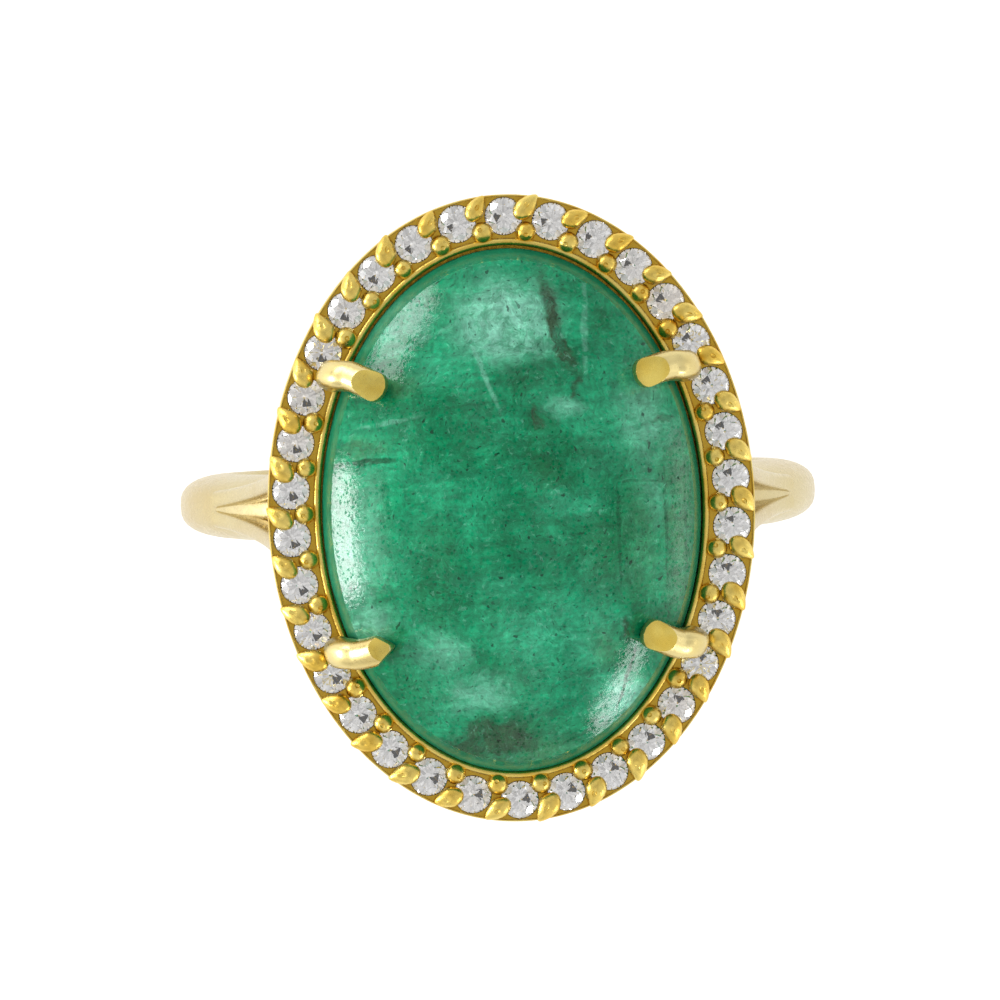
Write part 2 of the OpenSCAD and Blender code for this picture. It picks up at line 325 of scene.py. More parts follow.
class Graph:
    """A material's node tree, with short ways to add what the finishes share."""

    def __init__(self, name: str) -> None:
        """Starts an empty material with a Principled shader.

        Args:
            name: The material's name.
        """
        self.material = bpy.data.materials.new(name)
        self.material.use_nodes = True
        self.tree = self.material.node_tree
        self.shader = self.tree.nodes["Principled BSDF"]

    def add(self, kind: str, **settings: object) -> bpy.types.Node:
        """Adds a node and sets its properties.

        Args:
            kind: The node's type, without its ShaderNode prefix.
            **settings: Properties of the node.

        Returns:
            The node.
        """
        node = self.tree.nodes.new("ShaderNode" + kind)
        for key, value in settings.items():
            setattr(node, key, value)
        return node

    def join(self, output: bpy.types.NodeSocket, target: bpy.types.NodeSocket) -> None:
        """Links an output to an input."""
        self.tree.links.new(output, target)

    def places(self) -> bpy.types.NodeSocket:
        """Reads object coordinates.

        Returns:
            The coordinates in millimetres.
        """
        source = self.add("TexCoord").outputs["Object"]
        scale = self.add("VectorMath", operation="SCALE")
        scale.inputs["Scale"].default_value = PER_M
        self.join(source, scale.inputs[0])
        return scale.outputs[0]

    def noise(
        self, places: bpy.types.NodeSocket, scale: float, detail: float = 3.0, roughness: float = 0.5,
        warp: float = 0.0
    ) -> bpy.types.Node:
        """Adds cloudy noise.

        Args:
            places: Coordinates to read.
            scale: Clouds per millimetre.
            detail: Octaves.
            roughness: Strength of the fine octaves.
            warp: How far the clouds are stirred.

        Returns:
            The noise node.
        """
        node = self.add("TexNoise", noise_dimensions="3D")
        node.inputs["Scale"].default_value = scale
        node.inputs["Detail"].default_value = detail
        node.inputs["Roughness"].default_value = roughness
        node.inputs["Distortion"].default_value = warp
        self.join(places, node.inputs["Vector"])
        return node

    def math(self, operation: str, first: object, second: object) -> bpy.types.NodeSocket:
        """Adds a sum on sockets or numbers.

        Args:
            operation: The Math node's operation.
            first: A socket or a number.
            second: A socket or a number.

        Returns:
            The result.
        """
        node = self.add("Math", operation=operation)
        for slot, value in zip(node.inputs, (first, second)):
            if isinstance(value, bpy.types.NodeSocket):
                self.join(value, slot)
            else:
                slot.default_value = value
        return node.outputs[0]

    def fade(
        self, value: bpy.types.NodeSocket, start: float, end: float, low: float = 0.0, high: float = 1.0
    ) -> bpy.types.NodeSocket:
        """Turns a range of a value smoothly into another range.

        Args:
            value: What is read.
            start: Where the change starts.
            end: Where it ends.
            low: The result at start.
            high: The result at end.

        Returns:
            The result.
        """
        node = self.add("MapRange", interpolation_type="SMOOTHSTEP")
        self.join(value, node.inputs["Value"])
        for key, number in zip(("From Min", "From Max", "To Min", "To Max"), (start, end, low, high)):
            node.inputs[key].default_value = number
        return node.outputs[0]

    def patch(self, places: bpy.types.NodeSocket, cloud: Cloud, core: float) -> bpy.types.NodeSocket:
        """How far a point lies inside one patch.

        Args:
            places: Coordinates in millimetres.
            cloud: The patch.
            core: Share of the patch's size where it is full.

        Returns:
            From 0 outside to the patch's strength in its middle.
        """
        mapping = self.add("Mapping", vector_type="TEXTURE")
        mapping.inputs["Location"].default_value = (*cloud.at, 0)
        mapping.inputs["Rotation"].default_value = (0, 0, math.radians(cloud.turn_deg))
        mapping.inputs["Scale"].default_value = (*cloud.half, ANY_HEIGHT)
        self.join(places, mapping.inputs["Vector"])
        length = self.add("VectorMath", operation="LENGTH")
        self.join(mapping.outputs[0], length.inputs[0])
        return self.fade(length.outputs["Value"], 1.0, core, 0.0, cloud.strength)

    def patches(
        self, places: bpy.types.NodeSocket, clouds: Sequence[Cloud], core: float
    ) -> bpy.types.NodeSocket:
        """Lays several patches.

        Args:
            places: Coordinates in millimetres.
            clouds: The patches.
            core: Share of each patch's size where it is full.

        Returns:
            The greatest of them at each point.
        """
        total = self.patch(places, clouds[0], core)
        for cloud in clouds[1:]:
            total = self.math("MAXIMUM", total, self.patch(places, cloud, core))
        return total

    def blend(
        self, share: object, first: object, second: object, mode: str = "MIX"
    ) -> bpy.types.NodeSocket:
        """Mixes two colours.

        Args:
            share: A socket or a number, 0 for the first colour.
            first: A socket or a colour.
            second: A socket or a colour.
            mode: The Mix node's way of mixing.

        Returns:
            The mixed colour.
        """
        node = self.add("Mix", data_type="RGBA", blend_type=mode, clamp_factor=True)
        sockets = (node.inputs[0], node.inputs[6], node.inputs[7])
        for slot, value in zip(sockets, (share, first, second)):
            if isinstance(value, bpy.types.NodeSocket):
                self.join(value, slot)
            elif isinstance(value, tuple):
                slot.default_value = (*value, 1.0)
            else:
                slot.default_value = value
        return node.outputs[2]

    def bump(self, height: bpy.types.NodeSocket, depth_mm: float, strength: float = 1.0) -> None:
        """Raises the surface by a height pattern.

        Args:
            height: The pattern, from 0 to 1.
            depth_mm: What 1 stands for.
            strength: Share of the effect that is kept.
        """
        node = self.add("Bump")
        node.inputs["Strength"].default_value = strength
        node.inputs["Distance"].default_value = depth_mm * MM
        self.join(height, node.inputs["Height"])
        self.join(node.outputs["Normal"], self.shader.inputs["Normal"])


@dataclass(frozen=True)
class Patina:
    """Painted shade: gold painted a deeper colour on the low ground inside an oval, in millimetres, where the
    sunk field lies in shade.
    """

    colour: Colour
    half: tuple[float, float]
    low: float
    high: float


@dataclass(frozen=True)
class GoldFinish:
    """Yellow gold: its colour, a deeper tint that drifts over it, its gloss and its tool marks, and on the
    halo a painted shade on the low ground.
    """

    name: str
    colour: Colour
    tint: Colour
    gloss: tuple[float, float]
    drift: float
    grain: float
    grain_depth: float
    patina: Patina | None = None

    def with_painted_shade(
        self, graph: Graph, places: bpy.types.NodeSocket, tone: bpy.types.NodeSocket
    ) -> bpy.types.NodeSocket:
        """Paints shade on the low ground by deepening its colour.

        Args:
            graph: The material being built.
            places: Coordinates in millimetres.
            tone: The colour so far.

        Returns:
            The colour with its painted shade.
        """
        inside = graph.patch(places, Cloud((0, 0), self.patina.half, 0, 1.0), 0.99)
        height = graph.add("SeparateXYZ")
        graph.join(places, height.inputs[0])
        low = graph.fade(height.outputs["Z"], self.patina.high, self.patina.low)
        return graph.blend(graph.math("MULTIPLY", inside, low), tone, self.patina.colour)

    def material(self) -> bpy.types.Material:
        """Builds the finish.

        Returns:
            The material.
        """
        graph = Graph(self.name)
        places = graph.places()
        drift = graph.noise(places, self.drift, detail=2).outputs["Fac"]
        tone = graph.blend(graph.fade(drift, 0.35, 0.7), self.colour, self.tint)
        grain = graph.noise(places, self.grain, detail=4, roughness=0.6).outputs["Fac"]
        # Painted shade: the low ground of the halo field is painted deeper, standing in for the shade there.
        if self.patina is not None:
            tone = self.with_painted_shade(graph, places, tone)
        graph.join(tone, graph.shader.inputs["Base Color"])
        graph.join(graph.fade(grain, 0.3, 0.7, *self.gloss), graph.shader.inputs["Roughness"])
        graph.shader.inputs["Metallic"].default_value = 1.0
        graph.bump(grain, self.grain_depth)
        return graph.material


@dataclass(frozen=True)
class Layer:
    """Patches of one colour over the stone's body, full inside a share of their size."""

    colour: Colour
    clouds: tuple[Cloud, ...]
    core: float = 0.15


BRIGHT = Layer(
    (0.045, 0.42, 0.23),
    (
        Cloud((1.2, -4.2), (3.0, 1.7), 0, 0.75),
        Cloud((4.3, 4.2), (1.2, 1.2), 0, 0.5),
        Cloud((2.9, -5.7), (1.1, 1.0), 0, 0.6),
        Cloud((2.0, 0.3), (1.3, 0.9), 0, 0.4),
        Cloud((-2.6, 4.9), (1.4, 1.2), 0, 0.4),
        Cloud((-0.4, -2.4), (1.2, 0.8), 20, 0.35),
    ),
)
DEEP = Layer(
    (0.0, 0.135, 0.045),
    (
        Cloud((1.1, 1.7), (2.4, 1.5), -12, 0.95),
        Cloud((-2.6, -2.9), (1.5, 1.6), 0, 0.85),
        Cloud((2.8, -1.5), (1.1, 1.8), 0, 0.75),
        Cloud((-0.8, -0.8), (1.4, 1.6), 0, 0.5),
        Cloud((3.1, 6.2), (0.9, 1.2), 20, 0.6),
        Cloud((0.4, 4.4), (1.9, 0.8), 0, 0.5),
        Cloud((3.6, -5.0), (0.9, 0.8), 0, 0.4),
        Cloud((-0.2, -7.5), (3.2, 1.3), 0, 0.85),
        Cloud((0.9, 2.9), (1.0, 0.8), 0, 0.8),
        Cloud((-5.6, -0.4), (0.9, 3.6), 0, 0.6),
        Cloud((-2.6, -1.1), (1.5, 1.6), 0, 0.75),
    ),
)
MILK = Layer(
    (0.23, 0.62, 0.45),
    (
        Cloud((-0.1, 6.2), (2.6, 1.9), 0, 1.0),
        Cloud((4.3, 3.0), (1.3, 2.3), 8, 0.42),
        Cloud((-5.3, -1.4), (1.2, 3.4), 0, 0.35),
        Cloud((-4.9, -3.7), (1.1, 1.2), 0, 0.6),
        Cloud((-3.7, 6.3), (1.9, 1.1), 38, 0.5),
        Cloud((-1.3, -6.0), (1.6, 1.0), 0, 0.5),
        Cloud((3.4, -6.4), (1.3, 1.1), 34, 0.9),
        Cloud((-2.5, -4.6), (1.3, 0.9), 0, 0.35),
        Cloud((4.6, 0.2), (0.9, 1.2), 0, 0.25),
        Cloud((1.8, 3.4), (0.9, 0.5), 0, 0.55),
    ),
)
OLIVE_AND_CLAW_REFLECTION = Layer(
    (0.055, 0.22, 0.095),
    (
        Cloud((5.6, -0.8), (1.2, 5.0), 0, 0.85),
        Cloud((4.1, -1.4), (1.3, 2.8), 0, 0.5),
        Cloud((-3.5, 4.3), (1.1, 0.7), 0, 0.65),
        # Painted reflection: the pale olive patch where the back left claw is mirrored in the stone.
        Cloud((-4.9, 2.2), (1.2, 0.5), 6, 0.8),
        Cloud((2.8, -4.5), (0.9, 0.9), 0, 0.5),
        Cloud((-0.2, -8.0), (4.2, 0.7), 0, 0.6),
    ),
)
FEATHERS = Layer(
    (0.03, 0.075, 0.035),
    (
        Cloud((1.6, 6.0), (0.42, 2.4), 15, 1.0),
        Cloud((0.8, 3.0), (0.2, 0.55), 0, 0.85),
        Cloud((2.1, 3.95), (0.16, 0.4), 0, 0.8),
        Cloud((3.4, -4.0), (0.16, 0.55), 0, 0.8),
        Cloud((-1.1, -7.5), (2.2, 0.8), 4, 0.85),
        Cloud((4.9, 2.9), (0.4, 0.15), 0, 0.6),
    ),
    core=0.4,
)
VEILS = Layer(
    (0.20, 0.52, 0.38),
    (
        Cloud((-1.0, 4.8), (0.13, 2.4), 21, 0.45),
        Cloud((2.5, 6.0), (0.16, 2.3), -2, 0.4),
        Cloud((-3.1, 5.6), (1.9, 0.12), 24, 0.35),
        Cloud((-4.1, 3.0), (1.5, 0.1), 10, 0.4),
        Cloud((3.0, -6.9), (1.5, 0.12), 32, 0.4),
    ),
    core=0.3,
)
LINES = Layer(
    (0.004, 0.09, 0.035),
    (
        Cloud((3.4, -0.9), (0.07, 2.4), 1, 0.6),
        Cloud((5.0, -0.5), (0.07, 2.6), 0, 0.6),
        Cloud((5.7, -0.7), (0.06, 1.9), 0, 0.5),
        Cloud((4.3, 0.85), (1.3, 0.06), -2, 0.5),
        Cloud((-4.9, 1.7), (1.3, 0.13), 6, 0.85),
        Cloud((3.6, -5.6), (0.08, 1.4), -18, 0.8),
        Cloud((2.7, -7.2), (1.6, 0.09), 24, 0.6),
        Cloud((-1.8, 3.5), (2.4, 0.05), 6, 0.3),
    ),
    core=0.6,
)


@dataclass(frozen=True)
class StoneFinish:
    """Included emerald: clouded body, layers of veils and feathers, fine silk and a pitted polish.

    Pits and polish waves are counted per millimetre. Shine is the specular level of sound polish, and
    the bevel's dulling is the share of it that the low bevel loses. The low bevel is also painted a
    darker green, as painted shade on its steep wall, and one olive patch is a painted reflection of the
    back left claw.
    """

    name: str
    deep: Colour = (0.0, 0.19, 0.075)
    body: Colour = (0.012, 0.31, 0.145)
    # Painted shade: the darker green of the low bevel's steep wall.
    rim: Colour = (0.02, 0.19, 0.10)
    layers: tuple[Layer, ...] = (BRIGHT, DEEP, MILK, OLIVE_AND_CLAW_REFLECTION, FEATHERS)
    lines: tuple[Layer, ...] = (VEILS, LINES)
    pit_scale: float = 5.5
    polish_wave: float = 5.0
    wave_depth: float = 0.009
    shine: float = 0.3
    pit_shine: float = 0.04
    bevel_dulling: float = 0.85
    rim_shade_share: float = 0.65
    gloss: tuple[float, float] = (0.03, 0.14)
    ior: float = 1.55
    glow: float = 0.12
    glow_reach: tuple[float, float, float] = (0.4, 1.0, 0.7)
    glow_reach_mm: float = 0.35

    def stirred(
        self, graph: Graph, places: bpy.types.NodeSocket, scale: float, reach: float
    ) -> bpy.types.NodeSocket:
        """Coordinates pushed about by noise.

        Args:
            graph: The material being built.
            places: Coordinates in millimetres.
            scale: Swirls per millimetre.
            reach: How far a point moves, in millimetres.

        Returns:
            The moved coordinates.
        """
        swirl = graph.noise(places, scale, detail=4, roughness=0.6)
        centred = graph.add("VectorMath", operation="SUBTRACT")
        centred.inputs[1].default_value = (0.5, 0.5, 0.5)
        graph.join(swirl.outputs["Color"], centred.inputs[0])
        push = graph.add("VectorMath", operation="SCALE")
        push.inputs["Scale"].default_value = 2 * reach
        graph.join(centred.outputs[0], push.inputs[0])
        moved = graph.add("VectorMath", operation="ADD")
        graph.join(places, moved.inputs[0])
        graph.join(push.outputs[0], moved.inputs[1])
        return moved.outputs[0]

    def silk(
        self, graph: Graph, places: bpy.types.NodeSocket, turn_deg: float, stretch: Sequence[float],
        depth: float
    ) -> bpy.types.NodeSocket:
        """Fine parallel growth lines, as a factor of brightness.

        Args:
            graph: The material being built.
            places: Coordinates in millimetres.
            turn_deg: The way the lines run.
            stretch: Lines per millimetre across and along.
            depth: How much they darken and brighten.

        Returns:
            About 1, less in the dark lines and more in the bright ones.
        """
        mapping = graph.add("Mapping", vector_type="TEXTURE")
        mapping.inputs["Rotation"].default_value = (0, 0, math.radians(turn_deg))
        mapping.inputs["Scale"].default_value = (1 / stretch[0], 1 / stretch[1], 1 / stretch[1])
        graph.join(places, mapping.inputs["Vector"])
        lines = graph.noise(mapping.outputs[0], 1.0, detail=5, roughness=0.65).outputs["Fac"]
        return graph.fade(lines, 0.3, 0.7, 1 - depth, 1 + depth)

    def specks(
        self, graph: Graph, places: bpy.types.NodeSocket, scale: float, size: float, dark: float
    ) -> bpy.types.NodeSocket:
        """Scattered dark specks, as a factor of brightness.

        Args:
            graph: The material being built.
            places: Coordinates in millimetres.
            scale: Specks per millimetre.
            size: A speck's reach, as a share of its cell.
            dark: The factor in its middle.

        Returns:
            1 between the specks and less in them.
        """
        cells = graph.add("TexVoronoi", feature="F1")
        cells.inputs["Scale"].default_value = scale
        graph.join(places, cells.inputs["Vector"])
        return graph.fade(cells.outputs["Distance"], size * 0.6, size, dark, 1.0)

    def body_colour(self, graph: Graph, places: bpy.types.NodeSocket) -> bpy.types.NodeSocket:
        """The stone's colour below its polish, with a painted reflection of the back left claw among its
        patches.

        Args:
            graph: The material being built.
            places: Coordinates in millimetres.

        Returns:
            The colour.
        """
        loose = self.stirred(graph, places, 0.5, 0.7)
        fine = self.stirred(graph, loose, 2.2, 0.22)
        tight = self.stirred(graph, places, 1.8, 0.12)
        clouds = graph.noise(loose, 0.45, detail=6, roughness=0.62).outputs["Fac"]
        wisps = graph.noise(fine, 1.3, detail=8, roughness=0.72, warp=0.6).outputs["Fac"]
        moss = graph.noise(fine, 4.5, detail=6, roughness=0.7).outputs["Fac"]
        tone = graph.blend(graph.fade(clouds, 0.36, 0.62), self.deep, self.body)
        broken = graph.fade(wisps, 0.36, 0.56, 0.4, 1.0)
        for layer in self.layers:
            mask = graph.patches(fine, layer.clouds, layer.core)
            tone = graph.blend(graph.math("MULTIPLY", mask, broken), tone, layer.colour)
        tone = graph.blend(graph.fade(moss, 0.55, 0.75, 0.0, 0.4), tone, MILK.colour)
        tone = graph.blend(graph.fade(moss, 0.45, 0.28, 0.0, 0.6), tone, DEEP.colour)
        gaps = graph.fade(wisps, 0.4, 0.5)
        for layer in self.lines:
            mask = graph.patches(tight, layer.clouds, layer.core)
            tone = graph.blend(graph.math("MULTIPLY", mask, gaps), tone, layer.colour)
        for factor in (
            self.silk(graph, tight, 3, (2.6, 0.5), 0.12),
            self.silk(graph, tight, 94, (3.0, 0.4), 0.2),
            self.silk(graph, fine, -32, (5.0, 1.8), 0.18),
            self.silk(graph, fine, 60, (8.0, 5.0), 0.2),
            self.specks(graph, fine, 1.7, 0.13, 0.3),
            self.specks(graph, fine, 4.5, 0.2, 0.5),
        ):
            tone = graph.blend(1.0, tone, factor, "MULTIPLY")
        return tone

    def material(self, girdle_mm: float, bevel_mm: float) -> bpy.types.Material:
        """Builds the stone.

        Args:
            girdle_mm: Height of the girdle.
            bevel_mm: Height of the bevel above it.

        Returns:
            The material.
        """
        graph = Graph(self.name)
        places = graph.places()
        tone = self.body_colour(graph, places)
        height = graph.add("SeparateXYZ")
        graph.join(places, height.inputs[0])
        bevel_top = girdle_mm + bevel_mm
        low = graph.fade(height.outputs["Z"], bevel_top + 0.02, bevel_top - 0.08)
        bright = graph.math("SUBTRACT", 1.0, graph.math("MULTIPLY", low, self.bevel_dulling))
        # Painted shade: the low bevel is painted towards the darker rim green.
        tone = graph.blend(graph.math("MULTIPLY", low, self.rim_shade_share), tone, self.rim)
        graph.join(tone, graph.shader.inputs["Base Color"])
        pits = graph.add("TexVoronoi", feature="F1")
        pits.inputs["Scale"].default_value = self.pit_scale
        graph.join(self.stirred(graph, places, 5.0, 0.06), pits.inputs["Vector"])
        sound = graph.fade(pits.outputs["Distance"], 0.2, 0.36)
        wave = graph.noise(places, self.polish_wave, detail=4, roughness=0.6).outputs["Fac"]
        graph.bump(wave, self.wave_depth, 0.8)
        polish = graph.math("MULTIPLY", graph.fade(sound, 0.0, 1.0, self.pit_shine, self.shine), bright)
        graph.join(polish, graph.shader.inputs["Specular IOR Level"])
        graph.join(graph.fade(wave, 0.4, 0.7, *self.gloss), graph.shader.inputs["Roughness"])
        graph.shader.inputs["IOR"].default_value = self.ior
        graph.shader.inputs["Subsurface Weight"].default_value = self.glow
        graph.shader.inputs["Subsurface Radius"].default_value = self.glow_reach
        graph.shader.inputs["Subsurface Scale"].default_value = self.glow_reach_mm * MM
        return graph.material


@dataclass(frozen=True)
class BrilliantFinish:
    """Clear cut stone, with a faint warmth that differs from stone to stone."""

    name: str
    clear: Colour = (1.0, 0.985, 0.965)
    warm: Colour = (1.0, 0.92, 0.82)
    ior: float = 2.42

    def material(self) -> bpy.types.Material:
        """Builds the stone.

        Returns:
            The material.
        """
        graph = Graph(self.name)
        warmth = graph.noise(graph.places(), 0.35, detail=1).outputs["Fac"]
        tone = graph.blend(graph.fade(warmth, 0.55, 0.7), self.clear, self.warm)
        graph.join(tone, graph.shader.inputs["Base Color"])
        graph.shader.inputs["Roughness"].default_value = 0.0
        graph.shader.inputs["IOR"].default_value = self.ior
        graph.shader.inputs["Transmission Weight"].default_value = 1.0
        return graph.material


# ---------------------------------------------------------------- the ring's own pieces


@dataclass
class Band:
    """The half-round shank, thickest under the head and narrowest at the palm."""

    gold: bpy.types.Material
    node: str = "shank"
    bore_r: float = frame["record"]["mounts"][0]["dims"]["r_mm"]
    palm_share: float = 0.81
    inner_round: float = 0.2
    side_fullness: float = 0.72
    taper_haste: float = 1.1
    crest_trim: float = 0.004
    steps: int = 216
    sides: int = 36

    def build(self) -> Iterator[Piece]:
        """Spins the section round the finger, then lifts, tapers and flattens it.

        Yields:
            The band.
        """
        box = Span.of(self.node)
        crest = box.half.x
        palm_lift = box.low.z + crest
        wall = crest - self.bore_r
        reach = wall / (1 + self.inner_round)
        bm = bmesh.new()
        made = bmesh.ops.create_circle(bm, segments=self.sides, radius=1)
        for vert in made["verts"]:
            radial = vert.co.x if vert.co.x > 0 else vert.co.x * self.inner_round
            vert.co.x = crest - reach + radial * reach
            vert.co.y = math.copysign(abs(vert.co.y) ** self.side_fullness, vert.co.y) * box.half.y
        bmesh.ops.spin(
            bm, geom=[*bm.verts, *bm.edges], cent=(0, 0, 0), axis=(0, 1, 0), angle=2 * math.pi,
            steps=self.steps, use_merge=True,
        )
        for vert in bm.verts:
            rise = (vert.co.z + crest) / (2 * crest)
            vert.co.y *= self.palm_share + (1 - self.palm_share) * min(1, rise * self.taper_haste)
            out = (math.hypot(vert.co.x, vert.co.z) - self.bore_r) / wall
            vert.co.z += palm_lift * max(0.0, min(1.0, out))
        slice_off(bm, Vector((0, 0, box.high.z - self.crest_trim)), Vector((0, 0, 1)))
        yield Piece(finished(raw_object("band", bm), self.gold), Slot.BAND, (self.node,))


@dataclass
class Shoulders:
    """Four bars that fork from the band's crest up to the halo."""

    gold: bpy.types.Material
    foot: Vector = field(default_factory=lambda: Vector((9.5, 0.31, 5.1)))
    bend: Vector = field(default_factory=lambda: Vector((8.15, 0.62, 7.9)))
    head: Vector = field(default_factory=lambda: Vector((7.5, 1.1, 12.03)))
    half_up: float = 0.46
    half_across: float = 0.31
    end_swell: float = 0.12
    squareness: float = 0.7
    steps: int = 26
    sides: int = 20

    def station(self, share: float) -> Station:
        """The bar's section at a share of its length.

        Args:
            share: 0 at the foot and 1 at the head.

        Returns:
            The section.
        """
        at = self.foot * (1 - share) ** 2 + self.bend * (2 * share * (1 - share)) + self.head * share ** 2
        along = (self.bend - self.foot) * (1 - share) + (self.head - self.bend) * share
        swell = 1 + self.end_swell * abs(2 * share - 1) ** 3
        return Station(at, along, Vector((0, 1, 0)), self.half_across * swell, self.half_up * swell)

    def build(self) -> Iterator[Piece]:
        """Sweeps one bar for each quarter.

        Yields:
            The four bars.
        """
        for quarter in Quarter:
            bm = bmesh.new()
            stations = [self.station(i / self.steps) for i in range(self.steps + 1)]
            sweep(bm, stations, self.sides, self.squareness)
            bmesh.ops.transform(bm, matrix=quarter.flip(), verts=bm.verts)
            bar = finished(raw_object(f"shoulder_{quarter.label}", bm), self.gold)
            yield Piece(bar, Slot.BAND, (f"shoulder_bar_{quarter.label}",))


@dataclass
class BaseRail:
    """The oval rail that the head stands on, with rounded edges."""

    gold: bpy.types.Material
    node: str = "base_rail"
    half_width: float = 0.45
    squareness: float = 0.45
    sides: int = 168
    section_sides: int = 20

    def build(self) -> Iterator[Piece]:
        """Bridges loops laid round a rounded square section.

        Yields:
            The rail.
        """
        box = Span.of(self.node)
        bm = bmesh.new()
        loops = []
        for i in range(self.section_sides):
            # No two neighbouring loops may share a height, because level loops are bridged crosswise.
            turn = 2 * math.pi * i / self.section_sides
            out = math.copysign(abs(math.cos(turn)) ** self.squareness, math.cos(turn)) * self.half_width
            up = math.copysign(abs(math.sin(turn)) ** self.squareness, math.sin(turn)) * box.half.z
            half = (box.half.x - self.half_width + out, box.half.y - self.half_width + out)
            loops.append(level_oval(bm, half, box.centre.z + up, self.sides))
        bridge(bm, loops, closed=True)
        yield Piece(finished(raw_object("gallery_rail", bm), self.gold), Slot.BAND, (self.node,))


@dataclass
class Struts:
    """Four curved struts between the rail and the ends of the halo."""

    gold: bpy.types.Material
    radius: float = 0.38
    flare: float = 0.25
    end_inset: float = 0.42
    foot_sink: float = 0.1
    head_rise: float = 0.05
    bow: float = 1.5
    steps: int = 18
    sides: int = 18

    def ends(self, box: Span, side: Vector) -> tuple[Vector, Vector]:
        """A strut's foot in the rail and its head in the halo.

        Args:
            box: The strut's box.
            side: The signs of its quarter.

        Returns:
            The foot and the head.
        """
        reach = Vector((side.x * (box.half.x - self.end_inset), side.y * (box.half.y - self.end_inset)))
        foot = Vector((*(box.centre.xy - reach), box.low.z - self.foot_sink))
        head = Vector((*(box.centre.xy + reach), box.high.z + self.head_rise))
        return foot, head

    def station(self, foot: Vector, head: Vector, side: Vector, share: float) -> Station:
        """A strut's section at a share of its height.

        Args:
            foot: Its foot.
            head: Its head.
            side: The signs of its quarter.
            share: 0 at the foot and 1 at the head.

        Returns:
            The section.
        """
        run = head - foot
        at = Vector((*(foot.xy.lerp(head.xy, share ** self.bow)), foot.z + run.z * share))
        lean = self.bow * share ** (self.bow - 1)
        swell = self.radius * (1 + self.flare * abs(2 * share - 1) ** 3)
        across = Vector((0, 0, 1)).cross(side)
        return Station(at, Vector((run.x * lean, run.y * lean, run.z)), across, swell, swell)

    def build(self) -> Iterator[Piece]:
        """Sweeps a flared bar through each strut's box.

        Yields:
            The four struts.
        """
        for quarter in Quarter:
            node = f"gallery_strut_{quarter.label}"
            side = Vector((quarter.value[0], quarter.value[1], 0))
            foot, head = self.ends(Span.of(node), side)
            stations = [self.station(foot, head, side, i / self.steps) for i in range(self.steps + 1)]
            bm = bmesh.new()
            sweep(bm, stations, self.sides)
            yield Piece(finished(raw_object(f"strut_{quarter.label}", bm), self.gold), Slot.BAND, (node,))


@dataclass
class StoneRow:
    """Where the brilliants sit, read from the frame, and the gaps between them."""

    count: int = 34
    claw_gaps: tuple[int, ...] = (5, 11, 22, 28)

    def names(self) -> list[str]:
        """The brilliants' node names, in order round the halo."""
        return [f"halo_diamond_{k + 1:02d}" for k in range(self.count)]

    def centres(self) -> list[Vector]:
        """The brilliants' middles, seen from above."""
        return [Span.of(name).centre.xy for name in self.names()]

    def gaps(self) -> Iterator[tuple[int, Vector, Vector, Vector]]:
        """Walks round the gaps between neighbours.

        Yields:
            Each gap's number, middle, outward way, and the way back to its first brilliant.
        """
        centres = self.centres()
        for k, first in enumerate(centres):
            second = centres[(k + 1) % self.count]
            back = (first - second).normalized()
            yield k, (first + second) / 2, Vector((back.y, -back.x)), back

    def is_claw_gap(self, k: int) -> bool:
        """Whether a claw stands in this gap."""
        return k in self.claw_gaps


@dataclass
class ClawLine:
    """The line a claw follows, in the back right quarter."""

    halo_top: float
    foot: tuple[float, float, float] = (4.53, 3.73, -2.95)
    points: tuple[tuple[float, float, float], ...] = (
        (4.54, 3.74, -2.7),
        (5.45, 4.2, -1.6),
        (5.86, 4.42, -0.9),
        (5.87, 4.43, 0.1),
        (5.86, 4.58, 0.92),
        (5.62, 4.6, 1.42),
        (5.25, 4.62, 1.68),
        (4.86, 4.54, 2.0),
        (4.5, 4.43, 2.28),
        (4.14, 4.33, 2.5),
    )

    def line(self, per_span: int) -> list[Vector]:
        """A smooth line through the points.

        Args:
            per_span: How many steps lead from one point to the next.

        Returns:
            The line, from the foot to the tip.
        """
        knots = [Vector((x, y, z + self.halo_top)) for x, y, z in (self.foot, *self.points)]
        ends = [2 * knots[0] - knots[1], *knots, 2 * knots[-1] - knots[-2]]
        made = []
        for a, b, c, d in zip(ends, ends[1:], ends[2:], ends[3:]):
            for i in range(per_span):
                t = i / per_span
                made.append(
                    (2 * b + (c - a) * t + (2 * a - 5 * b + 4 * c - d) * t ** 2
                     + (3 * b - 3 * c + d - a) * t ** 3) / 2
                )
        return [*made, knots[-1]]


@dataclass(frozen=True)
class Cut:
    """One stroke of the file: its plane's place from the claw's end, the side that goes, its rim, and whether
    its face takes the brighter facet gold, partly finer polish and partly a painted highlight.
    """

    offset: tuple[float, float, float]
    normal: tuple[float, float, float]
    rim: float
    bright: bool


CUTS = {
    ClawTip.OVAL_FACET: (Cut((0.5, 0, -0.06), (0.16, 0.03, 1), 0.05, True),),
    ClawTip.POINT: (
        Cut((-0.05, 0, 0), (-0.73, 0.68, 0.1), 0.03, False),
        Cut((-0.05, 0, 0), (-0.47, -0.88, 0.1), 0.03, False),
        Cut((0.4, 0, 0.12), (0.12, -0.12, 1), 0.05, True),
    ),
}


